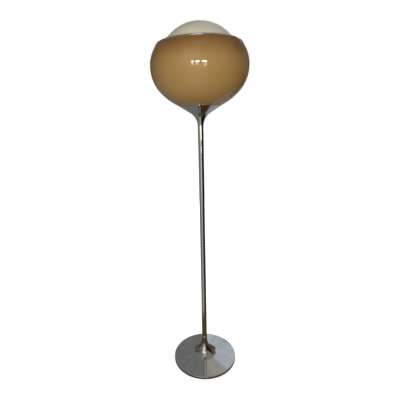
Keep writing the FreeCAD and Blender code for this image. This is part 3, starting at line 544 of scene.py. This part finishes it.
class FLOORLAMP_OT_cup(bpy.types.Operator):
    """Spin the chrome cup under the bowl"""
    bl_idname = "floorlamp.cup"
    bl_label = "Cup"

    def execute(self, context):
        size = sizes()
        wall, slope, edge = size.shell_wall, size.cup_slope, size.edge_break
        bottom, top = low("cup_shell").z, high("cup_shell").z
        stem, radius, bend = high("stem_tube").x, size.cup_edge_radius, size.cup_arc_radius
        turn = math.pi / 2 - slope
        tangent = bend * math.tan(turn / 2)
        start = top - (radius - stem) * math.tan(slope) - tangent
        centre = (stem + bend, start)
        end = (centre[0] - bend * math.cos(turn), start + bend * math.sin(turn))
        lip_tangent = size.cup_lip_rounding / math.tan(slope / 2)
        lip_centre = (radius - lip_tangent, top - size.cup_lip_rounding)
        lip_inner = radius - size.cup_lip_width
        meet = radius - wall / math.tan(slope) - wall / math.sin(slope)
        outline = [(stem - wall, bottom), (stem - edge, bottom), (stem, bottom + edge)]
        outline += arc(centre, bend, math.pi, math.pi - turn, step=2.5)
        lip = arc(lip_centre, size.cup_lip_rounding, slope - math.pi / 2, math.pi / 2, step=20.0)
        outline += straight(end, lip[0], count=12) + lip
        outline += [(lip_inner, top), (lip_inner, top - wall), (meet, top - wall)]
        outline += arc(centre, bend + wall, math.pi - turn, math.pi, step=4.0)
        cup = spun("cup", outline, FACETS["cup"])
        finish_piece(cup, chrome(), "chrome", "lamp", "cup_shell")
        return {"FINISHED"}


class FLOORLAMP_OT_bowl(bpy.types.Operator):
    """Spin the caramel bowl, open at the top and with a hole in its floor"""
    bl_idname = "floorlamp.bowl"
    bl_label = "Bowl"

    def execute(self, context):
        size = sizes()
        wall, radius = size.bowl_wall, high("shade_bowl").x
        bottom, top = low("shade_bowl").z, high("shade_bowl").z
        belly = high("cup_shell").z + size.belly_height
        upper, under, flat = size.upper_arc_radius, size.lower_arc_radius, size.bottom_arc_radius
        first_turn, last_turn = size.lower_arc_turn, size.bottom_arc_turn
        upper_centre = (radius - upper, belly)
        under_centre = (radius - under, belly)
        meet = (under_centre[0] + under * math.cos(first_turn), belly - under * math.sin(first_turn))
        flat_centre = (meet[0] - flat * math.cos(first_turn), meet[1] + flat * math.sin(first_turn))
        end = (flat_centre[0] + flat * math.cos(last_turn), flat_centre[1] - flat * math.sin(last_turn))
        foot = end[0] - (end[1] - bottom) * math.tan(last_turn)
        floor = foot + wall * math.tan(last_turn) - wall / math.cos(last_turn)
        mouth = math.asin((top - belly) / upper)
        inner_mouth = math.asin((top - belly) / (upper - wall))
        hole = size.floor_hole_radius
        outline = [(hole, bottom + wall), (hole, bottom), (foot, bottom)]
        outline += straight((foot, bottom), end, count=6)
        outline += arc(flat_centre, flat, -last_turn, -first_turn, step=1.5)
        outline += arc(under_centre, under, -first_turn, 0, step=2.0)[1:]
        outline += arc(upper_centre, upper, 0, mouth, step=2.0)[1:]
        outline += arc(upper_centre, upper - wall, inner_mouth, 0, step=3.0)
        outline += arc(under_centre, under - wall, 0, -first_turn, step=3.0)[1:]
        outline += arc(flat_centre, flat - wall, -first_turn, -last_turn, step=3.0)[1:]
        outline += [(floor, bottom + wall)]
        bowl = spun("bowl", outline, FACETS["bowl"])
        finish_piece(bowl, caramel_acrylic(), "caramel_acrylic", "lamp", "shade_bowl")
        return {"FINISHED"}


class FLOORLAMP_OT_ring(bpy.types.Operator):
    """Spin the trim ring that hugs the bowl's edge and carries the dome"""
    bl_idname = "floorlamp.ring"
    bl_label = "Trim ring"

    def execute(self, context):
        size = sizes()
        wall, gap = size.ring_wall, size.ring_gap
        bottom, top = low("trim_ring").z, high("trim_ring").z
        centre = (high("shade_bowl").x - size.upper_arc_radius, high("cup_shell").z + size.belly_height)
        web = top - wall
        inner_arc = size.upper_arc_radius + gap
        outer_arc = inner_arc + wall
        inner_radius, rise = size.upper_arc_radius - size.bowl_wall, web - centre[1]
        mouth = centre[0] + math.sqrt(inner_radius ** 2 - rise ** 2)
        well_out = mouth - gap
        well = well_out - wall
        ledge = top - size.ring_drop
        outline = [(well_out, web), (well_out, ledge - wall), (well - size.ring_ledge, ledge - wall),
                   (well - size.ring_ledge, ledge), (well, ledge), (well, top)]
        outline += rising_arc(centre, outer_arc, bottom, top)[::-1]
        outline += rising_arc(centre, inner_arc, bottom, web)
        ring = spun("trim_ring_band", outline, FACETS["ring"])
        bevel_edges(ring, size.ring_bevel)
        finish_piece(ring, chrome(), "chrome", "lamp", "trim_ring")
        return {"FINISHED"}


def bevel_edges(piece, width):
    """Break a piece's sharp edges."""
    pick(piece)
    bevel = piece.modifiers.new("edges", "BEVEL")
    bevel.width = width
    bevel.segments = BEVEL_SEGMENTS
    bevel.limit_method = "ANGLE"
    bevel.angle_limit = SMOOTH_ANGLE
    bpy.ops.object.modifier_apply(modifier=bevel.name)
    bpy.ops.object.shade_smooth_by_angle(angle=SMOOTH_ANGLE)


class FLOORLAMP_OT_dome(bpy.types.Operator):
    """Spin the opal cap with its flat flange"""
    bl_idname = "floorlamp.dome"
    bl_label = "Dome"

    def execute(self, context):
        size = sizes()
        seat, top, rim = low("dome_diffuser").z, high("dome_diffuser").z, high("dome_diffuser").x
        radius, wall, fillet = size.dome_radius, size.dome_wall, size.dome_fillet
        centre = top - radius
        flange = seat + wall
        rise = flange + fillet - centre
        reach = math.sqrt((radius + fillet) ** 2 - rise ** 2)
        lean = math.asin(rise / (radius + fillet))
        inner_lean = math.asin((seat - centre) / (radius - wall))
        outline = [(0, top - wall), (0, top)]
        outline += arc((0, centre), radius, math.pi / 2, lean, step=2.0)[1:]
        outline += arc((reach, flange + fillet), fillet, math.pi + lean, math.pi * 3 / 2, step=12.0)[1:]
        outline += [(rim, flange), (rim, seat)]
        outline += arc((0, centre), radius - wall, inner_lean, math.pi / 2, step=3.0)[:-1]
        dome = spun("dome", outline, FACETS["dome"])
        bevel_edges(dome, size.dome_bevel)
        finish_piece(dome, opal_acrylic(), "opal_acrylic", "dome", "dome_diffuser")
        return {"FINISHED"}


class FLOORLAMP_OT_bulb(bpy.types.Operator):
    """Spin the glass of the bulb"""
    bl_idname = "floorlamp.bulb"
    bl_label = "Bulb"

    def execute(self, context):
        size = sizes()
        bottom, top, radius = low("bulb_glass").z, high("bulb_glass").z, size.bulb_radius
        neck, bend, wall = size.bulb_neck_radius, size.bulb_neck_arc, size.bulb_wall
        centre = top - radius
        reach = neck + bend
        drop = math.sqrt((radius + bend) ** 2 - reach ** 2)
        lean = math.atan2(drop, reach)
        outline = [(0, top - wall), (0, top)]
        outline += arc((0, centre), radius, math.pi / 2, -lean, step=5.0)[1:]
        outline += arc((reach, centre - drop), bend, math.pi - lean, math.pi, step=4.0)[1:]
        outline += [(neck, bottom), (neck - wall, bottom)]
        outline += arc((reach, centre - drop), bend + wall, math.pi, math.pi - lean, step=6.0)
        outline += arc((0, centre), radius - wall, -lean, math.pi / 2, step=7.0)[1:-1]
        glass = spun("bulb", outline, FACETS["bulb"])
        finish_piece(glass, bulb_glass(), "opal_glass", "bulb", "bulb_glass")
        return {"FINISHED"}


class FLOORLAMP_OT_holder(bpy.types.Operator):
    """Spin the upper half of the lampholder's casing and finish the lower one"""
    bl_idname = "floorlamp.holder"
    bl_label = "Lampholder"

    def execute(self, context):
        size = sizes()
        wall, depth, flat = size.holder_wall, size.groove_depth, size.groove_floor
        lowest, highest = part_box("lampholder_barrel")
        radius, split, top = highest.x, lowest.z, highest.z
        inner, mouth = radius - wall, size.holder_mouth_radius
        grooved = top - split - 3 * wall
        outline = [(inner, split), (radius, split)]
        for groove in range(size.holder_grooves):
            height = split + wall + grooved * groove / size.holder_grooves
            outline += [(radius, height), (radius - depth, height + depth),
                        (radius - depth, height + depth + flat), (radius, height + 2 * depth + flat)]
        outline += arc((inner, top - wall), wall, 0, math.pi / 2, step=15.0)
        outline += [(mouth, top), (mouth, top - wall), (inner, top - wall)]
        barrel = spun("holder_barrel", outline, FACETS["holder"])
        phenolic = moulded("phenolic", colours().phenolic, 0.3, 0.45)
        finish_piece(barrel, phenolic, "phenolic", "lamp", "lampholder_barrel")
        dress(phenolic, "lampholder_cap")
        return {"FINISHED"}


class FLOORLAMP_OT_inner_parts(bpy.types.Operator):
    """Finish the pieces that are kept as the frame has them"""
    bl_idname = "floorlamp.inner_parts"
    bl_label = "Inner parts"

    def execute(self, context):
        shade = colours()
        dress(cast_iron(), "base_weight")
        dress(felt(), "felt_disc")
        dress(rubber("black_rubber", shade.rubber), "cable_bush")
        dress(rubber("gasket_rubber", shade.gasket), "lower_shade_gasket", "upper_shade_gasket")
        dress(bare_metal("steel", shade.steel, 0.25, 0.45, (1, 1, 6)),
              "base_washer", "base_nut", "tie_rod", "cup_nut", "gallery_plate", "gallery_washer",
              "gallery_nut", "block_screw")
        dress(bare_metal("turned_aluminium", shade.aluminium, 0.2, 0.35, (1, 1, 12)),
              "lower_stem_bush", "upper_stem_bush", "cup_washer", "bulb_cap")
        dress(bare_metal("brass", shade.brass, 0.2, 0.35, (1, 1, 8)),
              "terminal_screws", "lampholder_sleeve", "centre_contact")
        dress(bare_metal("solder", shade.steel, 0.35, 0.5, (1, 1, 1)), "bulb_contact")
        dress(moulded("lead_sheath", shade.sheath, 0.4, 0.55), "stem_lead")
        dress(moulded("block_plastic", shade.moulding, 0.35, 0.5), "terminal_block")
        dress(moulded("ceramic", shade.ceramic, 0.15, 0.25, coat=0.6), "lampholder_insert")
        dress(moulded("black_glass", shade.black_glass, 0.08, 0.15, grain=0.00001, coat=1.0),
              "bulb_insulator")
        return {"FINISHED"}


# Stage: camera, lights, floor and what the gloss shows

FILM_WIDTH = 36.0
IMAGE_SIZE = 400
CLIP_END = 100.0
WHITE = (1.0, 1.0, 1.0, 1.0)
SOFT_LIGHT = 0.12
FLOOR_SIZE = 24.0
FLOOR_SHADE = (0.8, 0.8, 0.8)
NEAR_WHITE = 0.80
SHADOW_REACH = (0.2, 0.6)
LAMP_AIM = (0, 0, 1.25)
PANEL_SPREAD = math.radians(80)
# name, place, (width, height), watts, tint, shows in gloss
LAMPS = (
    ("key", (-0.14, -1.15, 1.10), (0.55, 0.45), 4.9, (1.0, 0.985, 0.96), False),
    ("top_fill", (0.4, -0.6, 3.2), (1.2, 1.2), 4.0, (1.0, 0.99, 0.97), False),
    ("back_fill", (0.3, 3.0, 1.5), (1.6, 1.4), 42.0, (1.0, 0.985, 0.96), False),
    ("panel_left", (-0.405, -1.6, 1.258), (0.165, 0.135), 0.42, (1.0, 0.99, 0.98), True),
    ("panel_middle", (-0.118, -1.6, 1.258), (0.235, 0.135), 0.45, (1.0, 0.99, 0.98), True),
    ("panel_right", (0.284, -1.6, 1.258), (0.318, 0.135), 0.62, (1.0, 0.99, 0.93), True),
    ("low_panel_left", (-0.405, -1.6, 1.085), (0.165, 0.20), 0.18, (1.0, 0.86, 0.64), True),
    ("low_panel_middle", (-0.140, -1.6, 1.095), (0.19, 0.18), 0.16, (1.0, 0.86, 0.64), True),
    ("low_panel_right", (0.344, -1.6, 1.05), (0.20, 0.28), 0.31, (1.0, 0.88, 0.62), True),
    ("low_strip", (0.325, -1.6, 0.83), (0.25, 0.06), 0.04, (1.0, 0.86, 0.62), True),
    ("side_strip", (0.715, -1.6, 1.06), (0.04, 0.50), 0.11, (1.0, 0.90, 0.74), True),
)
# What the gloss shows: cards round the lamp and on the ground, laid in this order over a first colour.
# Each has a name, a colour and, for each measure, (from, to, softness), None where there is no limit.
# "turn" is in degrees from the camera's side, to the right. For the side cards x, y and z are the
# direction's own parts. On the ground they are metres, as is "reach", the distance from the axis.
SIDE_RADIUS = 30.0
SIDE_CENTRE = (0, 0, 0.8)
SIDE_FACETS = (64, 32)
SIDE_COLOUR = (0.295, 0.268, 0.223)
SIDE_CARDS = (
    ("left", (0.225, 0.234, 0.225), {"turn": (None, -50, 6), "z": (None, 0.88, 0.05)}),
    ("left foot", (0.12, 0.095, 0.07), {"turn": (None, -50, 6), "z": (0.08, 0.27, 0.06)}),
    ("left dark", (0.13, 0.115, 0.09), {"turn": (-146, -98, 4), "z": (None, 0.50, 0.06)}),
    ("left end", (0.090, 0.070, 0.050), {"turn": (None, -146, 4), "z": (None, 0.25, 0.05)}),
    ("right", (0.60, 0.66, 0.70), {"turn": (148, None, 2.0), "z": (None, 0.80, 0.05)}),
    ("right foot", (0.20, 0.18, 0.15), {"turn": (148, None, 2.0), "z": (None, 0.25, 0.05)}),
    ("right dark", (0.12, 0.10, 0.07), {"turn": (150, 168, 3.0), "z": (None, 0.41, 0.04)}),
    ("right top", (0.46, 0.44, 0.39), {"turn": (148, None, 3.0), "z": (0.785, 0.88, 0.045)}),
    ("right shade", (0.15, 0.145, 0.13), {"turn": (118, 148, 1.0), "z": (None, 0.70, 0.05)}),
    ("low dark", (0.021, 0.023, 0.023), {"turn": (32, 108, 6), "z": (None, 0.22, 0.04)}),
    ("middle dark", (0.021, 0.023, 0.023), {"turn": (68, 117, 1.0), "z": (None, 0.42, 0.04)}),
    ("high dark", (0.021, 0.023, 0.023), {"turn": (94, 120, 3.0), "z": (None, 0.66, 0.06)}),
    ("over the opening", (0.53, 0.49, 0.42), {"turn": (-36, 12, 8), "z": (0.60, 0.85, 0.08)}),
    ("bright strip", (1.4, 1.35, 1.25), {"turn": (-16, 16, 5), "z": (0.842, 0.90, 0.012)}),
    ("overhead", (1.0, 0.98, 0.93),
     {"x": (-0.20, 0.08, 0.03), "y": (-0.16, 0.0, 0.03), "z": (0.9, None, 0.03)}),
)
OPENING = {"turn": (-40, 8, 6), "z": (None, 0.62, 0.08)}
GROUND_HEIGHT = 0.001
GROUND_COLOUR = (0.214, 0.223, 0.212)
GROUND_CARDS = (
    ("far behind", (0.36, 0.38, 0.39), {"x": (-0.09, None, 0.04), "y": (0.85, None, 0.06)}),
    ("right dark", (0.012, 0.012, 0.012), {"turn": (19, 130, 6), "reach": (0.4, None, 0.03)}),
    ("far right dark", (0.012, 0.012, 0.012), {"turn": (18, 152, 5), "reach": (2.2, None, 0.4)}),
    ("front", (0.50, 0.47, 0.42), {"turn": (-38, 18, 8), "reach": (0.34, None, 0.10)}),
    ("far front", (0.90, 0.87, 0.82), {"turn": (-24, 18, 6), "reach": (2.6, None, 1.4)}),
    ("behind", (0.072, 0.042, 0.016), {"x": (-0.09, 0.41, 0.03), "y": (0, 0.86, 0.06)}),
    ("right", (0.075, 0.044, 0.015), {"turn": (10, 140, 10), "reach": (None, 0.68, 0.14)}),
    ("near", (0.105, 0.066, 0.029), {"reach": (None, 0.34, 0.07)}),
)
STREAKS = (0.88, 1.12)


def aim(right_turn, down_turn, roll):
    """Camera axes for a turn to the left or right, a look down and a roll."""
    ahead = Vector((math.sin(right_turn) * math.cos(down_turn), math.cos(right_turn) * math.cos(down_turn),
                    -math.sin(down_turn)))
    level = Vector((math.cos(right_turn), -math.sin(right_turn), 0))
    below = ahead.cross(level)
    right = math.cos(roll) * level + math.sin(roll) * below
    down = -math.sin(roll) * level + math.cos(roll) * below
    return Matrix((right, -down, -ahead)).transposed().to_4x4()


class FLOORLAMP_OT_stage(bpy.types.Operator):
    """Set up camera, lights, floor and what the gloss shows"""
    bl_idname = "floorlamp.stage"
    bl_label = "Stage"

    def execute(self, context):
        scene = context.scene
        view = scene.floorlamp_view
        scene.view_settings.view_transform = "Standard"
        pick_nothing()
        bpy.ops.object.camera_add()
        camera = context.object
        camera.matrix_world = (Matrix.Translation((0, -view.distance, view.height))
                               @ aim(view.turn, view.look_down, view.roll))
        camera.data.sensor_width = FILM_WIDTH
        camera.data.lens = FILM_WIDTH * view.focal_pixels / IMAGE_SIZE
        camera.data.shift_x = (IMAGE_SIZE / 2 - view.centre_pixel) / IMAGE_SIZE
        camera.data.clip_end = CLIP_END
        scene.camera = camera
        add_background()
        add_floor()
        add_cards()
        for settings in LAMPS:
            add_lamp(*settings)
        return {"FINISHED"}


def add_lamp(name, place, spread, power, tint, shows):
    """Soft rectangular lamp: a panel that shows in gloss faces +Y, the others look at the shade."""
    pick_nothing()
    bpy.ops.object.light_add(type="AREA", location=place)
    lamp = bpy.context.object
    lamp.name = name
    lamp.data.shape = "RECTANGLE"
    lamp.data.size, lamp.data.size_y = spread
    lamp.data.energy = power
    lamp.data.color = tint
    ahead = Vector((0, 1, 0)) if shows else Vector(LAMP_AIM) - Vector(place)
    lamp.rotation_euler = ahead.to_track_quat("-Z", "Y").to_euler()
    lamp.visible_glossy = shows
    if shows:
        lamp.data.spread = PANEL_SPREAD
    lamp.visible_camera = False


def add_floor():
    """Pale floor, white to the camera and in gloss and glass, that keeps the lamp's shadow."""
    pick_nothing()
    bpy.ops.mesh.primitive_plane_add(size=FLOOR_SIZE)
    floor = bpy.context.object
    floor.name = "floor"
    finish = Finish("floor", FLOOR_SHADE, 0.9)
    tree = finish.tree
    white = finish.node("ShaderNodeEmission")
    both = finish.node("ShaderNodeAddShader")
    near = ramp(tree, ground_measures(tree, finish.place)["reach"], *SHADOW_REACH)
    strength = finish.remap(near, NEAR_WHITE, 1.0, 0.0, 1.0)
    finish.link(calculate(tree, "MULTIPLY", strength, shown(tree)), white.inputs["Strength"])
    finish.link(finish.shader.outputs["BSDF"], both.inputs[0])
    finish.link(white.outputs["Emission"], both.inputs[1])
    finish.surface(both.outputs["Shader"])
    floor.data.materials.append(finish.material)


def shown(tree):
    """1 for what the camera sees, straight, in gloss or through glass."""
    path = tree.nodes.new("ShaderNodeLightPath")
    either = calculate(tree, "MAXIMUM", path.outputs["Is Camera Ray"], path.outputs["Is Glossy Ray"])
    return calculate(tree, "MAXIMUM", either, path.outputs["Is Transmission Ray"])


def add_background():
    """White where it is seen, even soft light on the object."""
    world = bpy.data.worlds.get("background") or bpy.data.worlds.new("background")
    bpy.context.scene.world = world
    world.use_nodes = True
    tree = world.node_tree
    tree.nodes.clear()
    output = tree.nodes.new("ShaderNodeOutputWorld")
    mix = tree.nodes.new("ShaderNodeMixShader")
    tree.links.new(shown(tree), mix.inputs["Fac"])
    for socket, strength in ((1, SOFT_LIGHT), (2, 1.0)):
        light = tree.nodes.new("ShaderNodeBackground")
        light.inputs["Color"].default_value = WHITE
        light.inputs["Strength"].default_value = strength
        tree.links.new(light.outputs["Background"], mix.inputs[socket])
    tree.links.new(mix.outputs["Shader"], output.inputs["Surface"])


def add_cards():
    """Cards that only the lamp's gloss sees, open to the white background in front."""
    pick_nothing()
    segments, rings = SIDE_FACETS
    bpy.ops.mesh.primitive_uv_sphere_add(segments=segments, ring_count=rings, radius=SIDE_RADIUS,
                                         location=SIDE_CENTRE)
    card(bpy.context.object, "side_cards", side_measures, SIDE_COLOUR, SIDE_CARDS, OPENING)
    pick_nothing()
    bpy.ops.mesh.primitive_plane_add(size=FLOOR_SIZE, location=(0, 0, GROUND_HEIGHT))
    card(bpy.context.object, "ground_cards", ground_measures, GROUND_COLOUR, GROUND_CARDS)


def card(piece, name, measure, base, layers, opening=None):
    """Glow in the layers' colours, clear in the opening, and seen in gloss alone."""
    piece.name = name
    finish = Finish(name, base, 1.0)
    tree = finish.tree
    tree.nodes.remove(finish.shader)
    measures = measure(tree, finish.place)
    glow = finish.node("ShaderNodeEmission")
    finish.link(layered(tree, measures, base, layers), glow.inputs["Color"])
    upright = finish.noise(0.6, detail=3.0, roughness=0.6, stretch=(1, 1, 0.05))
    finish.link(finish.remap(upright, *STREAKS), glow.inputs["Strength"])
    shader = glow.outputs["Emission"]
    if opening:
        clear = finish.node("ShaderNodeBsdfTransparent")
        mix = finish.node("ShaderNodeMixShader")
        finish.link(mask(tree, measures, opening), mix.inputs["Fac"])
        finish.link(shader, mix.inputs[1])
        finish.link(clear.outputs["BSDF"], mix.inputs[2])
        shader = mix.outputs["Shader"]
    finish.surface(shader)
    piece.data.materials.append(finish.material)
    for way in ("camera", "diffuse", "transmission", "volume_scatter", "shadow"):
        setattr(piece, "visible_" + way, False)


def side_measures(tree, place):
    """Measures of the direction from the middle of the side cards."""
    direction = tree.nodes.new("ShaderNodeVectorMath")
    direction.operation = "NORMALIZE"
    tree.links.new(place, direction.inputs[0])
    return ground_measures(tree, direction.outputs["Vector"])


def ground_measures(tree, place):
    """Parts of a place, its distance from the lamp's axis and its turn from the camera's side."""
    split = tree.nodes.new("ShaderNodeSeparateXYZ")
    tree.links.new(place, split.inputs["Vector"])
    measures = {axis.lower(): split.outputs[axis] for axis in "XYZ"}
    towards = calculate(tree, "MULTIPLY", measures["y"], -1.0)
    measures["turn"] = calculate(tree, "DEGREES", calculate(tree, "ARCTAN2", measures["x"], towards))
    squares = [calculate(tree, "MULTIPLY", measures[axis], measures[axis]) for axis in "xy"]
    measures["reach"] = calculate(tree, "SQRT", calculate(tree, "ADD", *squares))
    return measures


def layered(tree, measures, base, layers):
    """Colours laid over each other, each inside its own limits."""
    so_far = None
    for name, tint, limits in layers:
        layer = tree.nodes.new("ShaderNodeMix")
        layer.label = name
        layer.data_type = "RGBA"
        layer.inputs["A"].default_value = (*base, 1.0)
        layer.inputs["B"].default_value = (*tint, 1.0)
        tree.links.new(mask(tree, measures, limits), layer.inputs["Factor"])
        if so_far is not None:
            tree.links.new(so_far, layer.inputs["A"])
        so_far = layer.outputs["Result"]
    return so_far


def mask(tree, measures, limits):
    """1 inside all the limits, 0 outside."""
    inside = None
    for measure, (start, end, softness) in limits.items():
        for limit, sign in ((start, 1), (end, -1)):
            if limit is None:
                continue
            edge = ramp(tree, measures[measure], limit - sign * softness, limit + sign * softness)
            inside = edge if inside is None else calculate(tree, "MULTIPLY", inside, edge)
    return inside


def ramp(tree, value, start, end):
    """0 at start, 1 at end, smooth between them."""
    node = tree.nodes.new("ShaderNodeMapRange")
    node.interpolation_type = "SMOOTHSTEP"
    node.inputs["From Min"].default_value = start
    node.inputs["From Max"].default_value = end
    tree.links.new(value, node.inputs["Value"])
    return node.outputs["Result"]


def calculate(tree, operation, first, second=None):
    """Arithmetic on one value, or on it and a second value or number."""
    node = tree.nodes.new("ShaderNodeMath")
    node.operation = operation
    tree.links.new(first, node.inputs[0])
    if isinstance(second, float):
        node.inputs[1].default_value = second
    elif second is not None:
        tree.links.new(second, node.inputs[1])
    return node.outputs["Value"]


class FLOORLAMP_PT_panel(bpy.types.Panel):
    """Builds the lamp piece by piece"""
    bl_idname = "FLOORLAMP_PT_panel"
    bl_label = "Floor Lamp"
    bl_space_type = "VIEW_3D"
    bl_region_type = "UI"
    bl_category = "Floor Lamp"

    def draw(self, context):
        column = self.layout.column(align=True)
        for operator in OPERATORS:
            column.operator(operator.bl_idname)


OPERATORS = (
    FLOORLAMP_OT_foot,
    FLOORLAMP_OT_stem,
    FLOORLAMP_OT_cup,
    FLOORLAMP_OT_bowl,
    FLOORLAMP_OT_ring,
    FLOORLAMP_OT_dome,
    FLOORLAMP_OT_bulb,
    FLOORLAMP_OT_holder,
    FLOORLAMP_OT_inner_parts,
    FLOORLAMP_OT_stage,
)
GROUPS = (
    ("floorlamp_sizes", FLOORLAMP_PG_sizes),
    ("floorlamp_colours", FLOORLAMP_PG_colours),
    ("floorlamp_view", FLOORLAMP_PG_view),
)


def register():
    for name, group in GROUPS:
        bpy.utils.register_class(group)
        setattr(bpy.types.Scene, name, bpy.props.PointerProperty(type=group))
    for operator in OPERATORS:
        bpy.utils.register_class(operator)
    bpy.utils.register_class(FLOORLAMP_PT_panel)


def unregister():
    bpy.utils.unregister_class(FLOORLAMP_PT_panel)
    for operator in reversed(OPERATORS):
        bpy.utils.unregister_class(operator)
    for name, group in reversed(GROUPS):
        delattr(bpy.types.Scene, name)
        bpy.utils.unregister_class(group)


def main():
    register()
    for operator in OPERATORS:
        group, name = operator.bl_idname.split(".")
        getattr(getattr(bpy.ops, group), name)()


if __name__ == "__main__":
    main()
